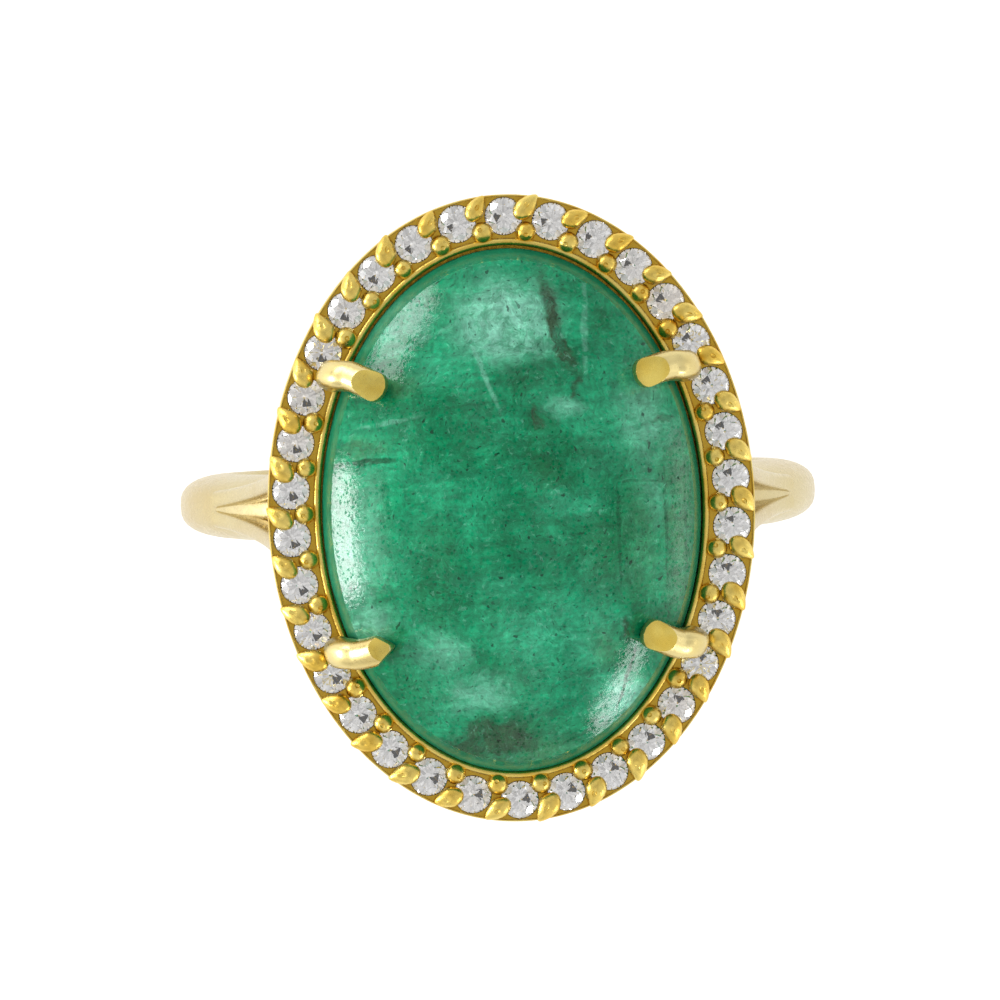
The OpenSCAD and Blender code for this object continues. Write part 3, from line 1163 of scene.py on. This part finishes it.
@dataclass
class Claws:
    """Four claws that rise through the halo and are bent over the stone, each filed by hand."""

    gold: bpy.types.Material
    filed_highlight_gold: bpy.types.Material
    neck_r: float = 0.35
    claw_r: float = 0.5
    swell_start: float = 0.05
    swell_height: float = 0.8
    end_length: float = 0.34
    end_least: float = 0.06
    pivot: tuple[float, float] = (5.87, 4.5)
    bend_rise: float = 0.9
    squareness: float = 0.8
    per_span: int = 5
    over_stone: int = 12
    sides: int = 32
    turns: dict[Quarter, float] = field(
        default_factory=lambda: {
            Quarter.BACK_RIGHT: 0.0,
            Quarter.FRONT_RIGHT: 8.0,
            Quarter.FRONT_LEFT: -1.0,
            Quarter.BACK_LEFT: 9.0,
        }
    )
    tips: dict[Quarter, ClawTip] = field(
        default_factory=lambda: {
            Quarter.BACK_RIGHT: ClawTip.OVAL_FACET,
            Quarter.FRONT_RIGHT: ClawTip.OVAL_FACET,
            Quarter.FRONT_LEFT: ClawTip.POINT,
            Quarter.BACK_LEFT: ClawTip.OVAL_FACET,
        }
    )

    def radius(self, at: Vector, halo_top: float, to_end: float) -> float:
        """The claw's radius: thin below the halo, full above it, drawn in at its end.

        Args:
            at: A point of its line.
            halo_top: Height of the halo.
            to_end: How far the line still runs.

        Returns:
            The radius.
        """
        swell = max(0.0, min(1.0, (at.z - halo_top - self.swell_start) / self.swell_height))
        full = self.neck_r + (self.claw_r - self.neck_r) * swell * swell * (3 - 2 * swell)
        drawn_in = max(0.0, 1 - to_end / self.end_length)
        return full * math.sqrt(max(self.end_least, 1 - drawn_in ** 2))

    def bent(self, line: list[Vector], turn_deg: float, halo_top: float) -> list[Vector]:
        """Swings the part of a claw that lies over the stone.

        Args:
            line: The claw's line.
            turn_deg: How far its end swings towards the stone's middle.
            halo_top: Height of the halo.

        Returns:
            The swung line.
        """
        pivot = Vector((*self.pivot, 0))
        swung = []
        for at in line:
            share = max(0.0, min(1.0, at.z - halo_top - self.bend_rise))
            turn = Matrix.Rotation(math.radians(turn_deg) * share, 3, "Z")
            swung.append(turn @ (at - pivot) + pivot)
        return swung

    def build(self) -> Iterator[Piece]:
        """Sweeps each claw along its line and files its tip.

        Yields:
            The four claws.
        """
        halo_top = Span.of("halo_plate").high.z
        straight = ClawLine(halo_top).line(self.per_span)
        lengths = [0.0]
        for a, b in zip(straight, straight[1:]):
            lengths.append(lengths[-1] + (b - a).length)
        for quarter in Quarter:
            line = self.bent(straight, self.turns[quarter], halo_top)
            run = line[-1] - line[-self.over_stone]
            across = Vector((run.y, -run.x, 0)).normalized()
            bm = bmesh.new()
            stations = []
            for i, at in enumerate(line):
                along = line[min(i + 1, len(line) - 1)] - line[max(i - 1, 0)]
                radius = self.radius(at, halo_top, lengths[-1] - lengths[i])
                stations.append(Station(at, along, across, radius, radius))
            sweep(bm, stations, self.sides, self.squareness)
            self.file_tip(bm, line[-1], self.tips[quarter])
            bmesh.ops.transform(bm, matrix=quarter.flip(), verts=bm.verts)
            claw = finished(raw_object(f"claw_tip_{quarter.label}", bm), self.gold, 30)
            # The filed facets take the brighter, yellower gold: partly their finer polish, partly a painted
            # highlight.
            claw.data.materials.append(self.filed_highlight_gold)
            yield Piece(claw, Slot.CLAW, (f"claw_{quarter.label}",))

    def file_tip(self, bm: bmesh.types.BMesh, end: Vector, tip: ClawTip) -> None:
        """Files one claw's end.

        Args:
            bm: The claw's mesh.
            end: The last point of its line.
            tip: How it is filed.
        """
        for cut in CUTS[tip]:
            slice_off(bm, end + Vector(cut.offset), Vector(cut.normal).normalized(), cut.rim, int(cut.bright))


@dataclass
class HaloPlate:
    """The pavé plate: a sunk field inside a low rim, drilled for the brilliants."""

    gold: bpy.types.Material
    row: StoneRow
    node: str = "halo_plate"
    sides: int = 272
    seat_sides: int = 40
    seat_r: float = 0.64
    light_r: float = 0.36
    light_depth: float = 0.37
    field_drop: float = 0.10
    field_share: float = 0.95
    foot_share: float = 0.97
    foot_bevel: float = 0.05
    rim: tuple[tuple[float, float], ...] = (
        (1.0, -0.07), (0.995, -0.02), (0.985, 0.0), (0.965, 0.0), (0.955, -0.02), (0.952, -0.06),
    )

    def build(self) -> Iterator[Piece]:
        """Bridges the rim and the seats, and fills the field and the underside between them.

        Yields:
            The plate.
        """
        box = Span.of(self.node)
        inner = Span.of("stone_collet").half
        width = box.half - inner
        field_z = box.high.z - self.field_drop
        bm = bmesh.new()

        def oval(share: float, z: float) -> list[bmesh.types.BMEdge]:
            """A loop at a share of the plate's width."""
            return level_oval(bm, (inner.x + width.x * share, inner.y + width.y * share), z, self.sides)

        outside = [oval(self.foot_share, box.low.z), oval(1.0, box.low.z + self.foot_bevel)]
        outside += [oval(share, box.high.z + drop) for share, drop in self.rim]
        outside.append(oval(self.field_share, field_z))
        inside = [oval(0.0, box.low.z), oval(0.0, field_z)]
        mouths, lights = [], []
        light_top = box.high.z - self.light_depth
        profile = ((self.seat_r, field_z), (self.light_r, light_top), (self.light_r, box.low.z))
        for centre in self.row.centres():
            seat = [level_oval(bm, (r, r), z, self.seat_sides, centre) for r, z in profile]
            bridge(bm, seat)
            mouths.append(seat[0])
            lights.append(seat[-1])
        bridge(bm, outside)
        bridge(bm, inside)
        fill(bm, [outside[-1], inside[-1], *mouths])
        fill(bm, [outside[0], inside[0], *lights])
        yield Piece(finished(raw_object("pave_plate", bm), self.gold, 30), Slot.HALO, (self.node,))


@dataclass
class Collet:
    """The thin rebated wall round the stone."""

    gold: bpy.types.Material
    node: str = "stone_collet"
    wall: float = 0.24
    ledge_width: float = 0.59
    ledge_drop: float = 0.8
    foot_bevel: float = 0.04
    lip_steps: int = 8
    sides: int = 240

    def build(self) -> Iterator[Piece]:
        """Bridges loops round the rebated section, with a rounded lip.

        Yields:
            The wall.
        """
        box = Span.of(self.node)
        lip = self.wall / 2
        bm = bmesh.new()
        foot = box.low.z + self.foot_bevel
        section = [(0.0, foot), (0.0, box.high.z - lip)]
        for i in range(1, self.lip_steps + 1):
            turn = math.pi * i / self.lip_steps
            section.append((lip - lip * math.cos(turn), box.high.z - lip + lip * math.sin(turn)))
        ledge = box.high.z - self.ledge_drop
        inner = self.wall + self.ledge_width
        section += [
            (self.wall, ledge), (inner, ledge), (inner, foot), (inner - self.foot_bevel, box.low.z),
            (self.foot_bevel, box.low.z),
        ]
        loops = [
            level_oval(bm, (box.half.x - inset, box.half.y - inset), z, self.sides) for inset, z in section
        ]
        bridge(bm, loops, closed=True)
        yield Piece(finished(raw_object("bezel_wall", bm), self.gold, 30), Slot.HALO, (self.node,))


@dataclass
class Pave:
    """The raised gold that holds the brilliants: leaning outer prongs and round inner beads.

    Every one keeps the small punch mark of the beading tool.
    """

    gold: bpy.types.Material
    row: StoneRow
    dice: random.Random
    prong_out: float = 0.40
    prong_back: float = 0.08
    prong_half: tuple[float, float, float] = (0.54, 0.37, 0.29)
    prong_pitch_deg: float = -12.0
    lean_back: float = 0.62
    lean_in: float = 0.68
    tail_start: float = 0.25
    tail_narrowing: float = 0.5
    tail_lowering: float = 0.45
    bead_in: float = 0.43
    bead_r: float = 0.355
    seating: float = 0.03
    punch_depth: float = 0.55

    def dented_ball(self, bm: bmesh.types.BMesh) -> list[bmesh.types.BMVert]:
        """Adds a unit ball whose top is punched in.

        Args:
            bm: The mesh of all the prongs or beads.

        Returns:
            The ball's vertices.
        """
        made = bmesh.ops.create_uvsphere(bm, u_segments=20, v_segments=14, radius=1)
        for vert in made["verts"]:
            if vert.co.z > 0.999:
                vert.co.z -= self.punch_depth * self.dice.uniform(0.6, 1.0)
        return made["verts"]

    def prong(self, bm: bmesh.types.BMesh, middle: Vector, out: Vector, back: Vector, top: float) -> None:
        """Adds one outer prong: a teardrop that leans over its first brilliant.

        Args:
            bm: The mesh of all the prongs.
            middle: The gap's middle.
            out: The outward way.
            back: The way to the brilliant that it holds.
            top: Height of the plate.
        """
        spread = self.dice.uniform(0.93, 1.07)
        verts = self.dented_ball(bm)
        for vert in verts:
            tail = max(0.0, min(1.0, (self.tail_start - vert.co.x) / (1 + self.tail_start)))
            vert.co.y *= 1 - self.tail_narrowing * tail ** 1.2
            vert.co.z *= 1 - self.tail_lowering * tail
        lean = (back * self.lean_back - out * self.lean_in).normalized()
        yaw = math.atan2(lean.y, lean.x) + self.dice.uniform(-0.14, 0.14)
        spot = middle + out * self.prong_out + back * self.prong_back
        length, width, height = self.prong_half
        place = (
            Matrix.Translation((spot.x, spot.y, top + self.seating))
            @ Matrix.Rotation(yaw, 4, "Z")
            @ Matrix.Rotation(math.radians(self.prong_pitch_deg + self.dice.uniform(-3, 3)), 4, "Y")
            @ Matrix.Rotation(self.dice.uniform(-0.2, 0.2), 4, "X")
            @ Matrix.Diagonal((length * spread, width * spread, height, 1))
        )
        bmesh.ops.transform(bm, matrix=place, verts=verts)

    def bead(self, bm: bmesh.types.BMesh, middle: Vector, out: Vector, top: float) -> None:
        """Adds one inner bead.

        Args:
            bm: The mesh of all the beads.
            middle: The gap's middle.
            out: The outward way.
            top: Height of the plate.
        """
        radius = self.bead_r * self.dice.uniform(0.92, 1.05)
        spot = middle - out * self.bead_in
        place = (
            Matrix.Translation((spot.x, spot.y, top - self.seating))
            @ Matrix.Rotation(self.dice.uniform(-0.35, 0.35), 4, "X")
            @ Matrix.Rotation(self.dice.uniform(-0.35, 0.35), 4, "Y")
            @ Matrix.Diagonal((radius, radius, radius, 1))
        )
        bmesh.ops.transform(bm, matrix=place, verts=self.dented_ball(bm))

    def build(self) -> Iterator[Piece]:
        """Raises the prongs and the beads.

        Yields:
            All the prongs, then all the beads.
        """
        top = Span.of("halo_plate").high.z
        prongs, beads = bmesh.new(), bmesh.new()
        for k, middle, out, back in self.row.gaps():
            self.prong(prongs, middle, out, back, top)
            if not self.row.is_claw_gap(k):
                self.bead(beads, middle, out, top)
        for name, bm, node in (
            ("leaning_prongs", prongs, "outer_prongs"), ("round_beads", beads, "inner_beads")
        ):
            yield Piece(finished(raw_object(name, bm), self.gold, 60), Slot.HALO, (node,))


@dataclass
class Cabochon:
    """The oval stone: flat base, chamfer, girdle, steep bevel and a full dome."""

    finish: StoneFinish
    node: str = "emerald_cabochon"
    base_share: float = 0.8
    girdle_band: float = 0.3
    bevel_share: float = 0.955
    bevel_h: float = 1.1
    fullness: float = 2.1
    bevel_steps: int = 8
    sides: int = 192
    rings: int = 56

    def profile(self, box: Span, girdle: float) -> list[tuple[float, float]]:
        """The stone's outline.

        Args:
            box: The stone's box.
            girdle: Height of the girdle.

        Returns:
            Shares of the half sizes and heights, from the base to just under the top.
        """
        cap_h = box.high.z - girdle - self.bevel_h
        band_low = girdle - self.girdle_band
        rows = [
            (self.base_share * 0.5, box.low.z), (self.base_share - 0.01, box.low.z),
            (self.base_share + 0.004, box.low.z + 0.03), (0.996, band_low - 0.02),
            (1.0, band_low + 0.03), (1.0, girdle - 0.03), (0.998, girdle + 0.04),
        ]
        rows += [
            (1 - (1 - self.bevel_share) * i / self.bevel_steps, girdle + self.bevel_h * i / self.bevel_steps)
            for i in range(1, self.bevel_steps)
        ]
        for i in range(self.rings):
            share = self.bevel_share * math.cos(math.pi / 2 * i / self.rings)
            crown = cap_h * (1 - (share / self.bevel_share) ** self.fullness)
            rows.append((share, girdle + self.bevel_h + crown))
        return rows

    def build(self) -> Iterator[Piece]:
        """Bridges the stone's loops and closes its base and top.

        Yields:
            The stone.
        """
        box = Span.of(self.node)
        girdle = Span.of("halo_plate").high.z
        bm = bmesh.new()
        loops = [
            level_oval(bm, (box.half.x * share, box.half.y * share), z, self.sides, box.centre.xy)
            for share, z in self.profile(box, girdle)
        ]
        bridge(bm, loops)
        cap(bm, loops[0])
        cap(bm, loops[-1])
        stone = raw_object("emerald", bm)
        material = self.finish.material(girdle, self.bevel_h)
        yield Piece(finished(stone, material, 25), Slot.EMERALD, (self.node,))


@dataclass
class Brilliants:
    """The halo's cut stones, which the frame already holds facet by facet."""

    finish: BrilliantFinish
    row: StoneRow

    def build(self) -> Iterator[Piece]:
        """Gives each cut stone its finish.

        Yields:
            The cut stones, in order round the halo.
        """
        material = self.finish.material()
        for name in self.row.names():
            stone = frame["nodes"][name]
            for holder in stone.material_slots:
                holder.material = material
            yield Piece(stone, Slot.DIAMOND)


# ---------------------------------------------------------------- the studio


@dataclass(frozen=True)
class SoftBox:
    """A lit panel that faces the head.

    It hangs at a way round from +X, a rise above the horizon and a reach. Sizes are in millimetres.
    """

    name: str
    azimuth_deg: float
    rise_deg: float
    size: tuple[float, float]
    radiance: float
    reach: float = 260


@dataclass
class Studio:
    """A white table, soft boxes low at the sides, and a camera that looks down on the head.

    The ceiling and the folds each hold a range of a pattern and the brightness at its two ends.
    """

    floor_z: float
    head_z: float
    distance: float = 274.1
    lean_left_deg: float = 2.04
    lean_back_deg: float = 1.77
    roll_deg: float = 1.59
    aim_right: float = -0.391
    aim_up: float = 0.274
    lens_mm: float = 297.05
    sensor_mm: float = 36.0
    ceiling: tuple[float, float, float, float] = (0.74, 0.99, 0.9, 0.7)
    folds: tuple[float, float, float, float] = (0.35, 0.65, 0.55, 1.3)
    folds_scale: float = 2.6
    table_half: float = 500
    table_tones: tuple[Colour, Colour] = ((0.93, 0.93, 0.93), (0.95, 0.95, 0.945))
    table_roughness: float = 0.7
    table_glow: float = 0.26
    boxes: tuple[SoftBox, ...] = (
        SoftBox("left_box", 185, 8, (112, 40), 19.0),
        SoftBox("left_fill", 185, 20, (120, 50), 1.4),
        SoftBox("back_left_box", 137, 18, (150, 50), 7.0),
        SoftBox("right_box", -3, 5, (150, 22), 1.8),
        SoftBox("front_right_box", -44, 15, (120, 26), 10.0),
    )

    def camera(self) -> None:
        """Places the camera nearly straight above the head."""
        lens = bpy.data.cameras.new("camera")
        lens.lens = self.lens_mm
        lens.sensor_width = self.sensor_mm
        lens.clip_start = 0.01
        lens.clip_end = 10
        eye = bpy.data.objects.new("camera", lens)
        bpy.context.scene.collection.objects.link(eye)
        back = Vector(
            (-math.sin(math.radians(self.lean_left_deg)), math.sin(math.radians(self.lean_back_deg)), 1)
        ).normalized()
        right = Vector((0, 1, 0)).cross(back).normalized()
        up = back.cross(right)
        roll = math.radians(self.roll_deg)
        right, up = (
            right * math.cos(roll) - up * math.sin(roll),
            right * math.sin(roll) + up * math.cos(roll),
        )
        at = Vector((0, 0, self.head_z)) + back * self.distance + right * self.aim_right + up * self.aim_up
        turn = Matrix((right, up, back)).transposed().to_4x4()
        eye.matrix_world = Matrix.Translation(at * MM) @ turn
        bpy.context.scene.camera = eye

    def hang(self, box: SoftBox) -> None:
        """Hangs a soft box so that it faces the head.

        Args:
            box: The soft box.
        """
        light = bpy.data.lights.new(box.name, "AREA")
        light.shape = "RECTANGLE"
        light.size, light.size_y = box.size[0] * MM, box.size[1] * MM
        light.energy = box.radiance * math.pi * light.size * light.size_y
        holder = bpy.data.objects.new(box.name, light)
        bpy.context.scene.collection.objects.link(holder)
        turn, rise = math.radians(box.azimuth_deg), math.radians(box.rise_deg)
        way = Vector((math.cos(turn) * math.cos(rise), math.sin(turn) * math.cos(rise), math.sin(rise)))
        holder.location = (Vector((0, 0, self.head_z)) + way * box.reach) * MM
        holder.rotation_euler = way.to_track_quat("Z", "Y").to_euler()

    def floor(self) -> None:
        """Lays the white table under the ring."""
        bm = bmesh.new()
        place = Matrix.Translation((0, 0, self.floor_z))
        bmesh.ops.create_grid(bm, x_segments=2, y_segments=2, size=self.table_half, matrix=place)
        graph = Graph("white_table")
        grain = graph.noise(graph.places(), 0.05, detail=2).outputs["Fac"]
        tone = graph.blend(graph.fade(grain, 0.3, 0.7), *self.table_tones)
        graph.join(tone, graph.shader.inputs["Base Color"])
        graph.shader.inputs["Roughness"].default_value = self.table_roughness
        graph.shader.inputs["Emission Color"].default_value = (1, 1, 1, 1)
        graph.shader.inputs["Emission Strength"].default_value = self.table_glow
        finished(raw_object("table", bm), graph.material)

    def sky(self) -> None:
        """Surrounds the ring with pale, uneven walls under a darker ceiling."""
        world = bpy.data.worlds.new("tent")
        world.use_nodes = True
        tree = world.node_tree
        place = tree.nodes.new("ShaderNodeTexCoord")
        split = tree.nodes.new("ShaderNodeSeparateXYZ")
        rise = tree.nodes.new("ShaderNodeMapRange")
        rise.interpolation_type = "SMOOTHSTEP"
        folds = tree.nodes.new("ShaderNodeTexNoise")
        folds.inputs["Scale"].default_value = self.folds_scale
        folds.inputs["Detail"].default_value = 2
        shade = tree.nodes.new("ShaderNodeMapRange")
        product = tree.nodes.new("ShaderNodeMath")
        product.operation = "MULTIPLY"
        background = tree.nodes["Background"]
        for source, target in (
            (place.outputs["Generated"], split.inputs[0]),
            (place.outputs["Generated"], folds.inputs["Vector"]),
            (split.outputs["Z"], rise.inputs["Value"]),
            (folds.outputs["Fac"], shade.inputs["Value"]),
            (rise.outputs[0], product.inputs[0]),
            (shade.outputs[0], product.inputs[1]),
            (product.outputs[0], background.inputs["Strength"]),
        ):
            tree.links.new(source, target)
        for node, numbers in ((rise, self.ceiling), (shade, self.folds)):
            for key, number in zip(("From Min", "From Max", "To Min", "To Max"), numbers):
                node.inputs[key].default_value = number
        background.inputs["Color"].default_value = (1.0, 1.0, 1.0, 1)
        bpy.context.scene.world = world

    def build(self) -> None:
        """Sets the whole studio up."""
        self.camera()
        self.floor()
        self.sky()
        for box in self.boxes:
            self.hang(box)
        bpy.context.scene.view_settings.view_transform = "Standard"


def dress(piece: Piece) -> None:
    """Puts a piece on its body, hides the CAD nodes that it stands for, and logs it.

    Args:
        piece: The finished piece.
    """
    is_node = piece.thing.name in frame["nodes"]
    if not is_node:
        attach(piece.thing, BODY)
    if piece.stands_for:
        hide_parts(*piece.stands_for)
    LOG.info("%s: %d faces, %s", piece.thing.name, len(piece.thing.data.polygons), piece.slot.value)


def main() -> None:
    """Builds the studio, then every sub-assembly in order."""
    logging.basicConfig(level=logging.INFO, format="%(message)s")
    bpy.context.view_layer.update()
    head_z = Span.of("halo_plate").high.z
    Studio(floor_z=Span.of("shank").low.z, head_z=head_z).build()
    plate_half = Span.of("halo_plate").half
    band_gold = GoldFinish(
        "band_gold", colour=(0.62, 0.52, 0.28), tint=(0.58, 0.46, 0.22), gloss=(0.24, 0.34),
        drift=0.25, grain=5.0, grain_depth=0.0006,
    ).material()
    # Painted shade for the halo's sunk field: a deeper amber on its low ground.
    patina = Patina((0.58, 0.35, 0.035), (plate_half.x, plate_half.y), head_z - 0.12, head_z - 0.02)
    halo_gold = GoldFinish(
        "halo_gold", colour=(0.82, 0.63, 0.17), tint=(0.76, 0.50, 0.08), gloss=(0.24, 0.38),
        drift=0.9, grain=7.0, grain_depth=0.012, patina=patina,
    ).material()
    claw_gold = GoldFinish(
        "claw_gold", colour=(0.72, 0.60, 0.27), tint=(0.68, 0.53, 0.20), gloss=(0.26, 0.36),
        drift=0.6, grain=9.0, grain_depth=0.0006,
    ).material()
    # Facet gold: a brighter, yellower copy of the claw gold, partly finer polish and partly painted
    # highlight.
    filed_highlight_gold = GoldFinish(
        "filed_highlight_gold", colour=(0.84, 0.66, 0.16), tint=(0.78, 0.56, 0.10), gloss=(0.22, 0.34),
        drift=1.4, grain=9.0, grain_depth=0.0006,
    ).material()
    row = StoneRow()
    assemblies = (
        Band(band_gold),
        Shoulders(band_gold),
        BaseRail(band_gold),
        Struts(band_gold),
        HaloPlate(halo_gold, row),
        Collet(halo_gold),
        Pave(halo_gold, row, random.Random(SEED)),
        Claws(claw_gold, filed_highlight_gold),
        Cabochon(StoneFinish("included_emerald")),
        Brilliants(BrilliantFinish("cut_diamond"), row),
    )
    for assembly in assemblies:
        for piece in assembly.build():
            dress(piece)


if __name__ == "__main__":
    main()
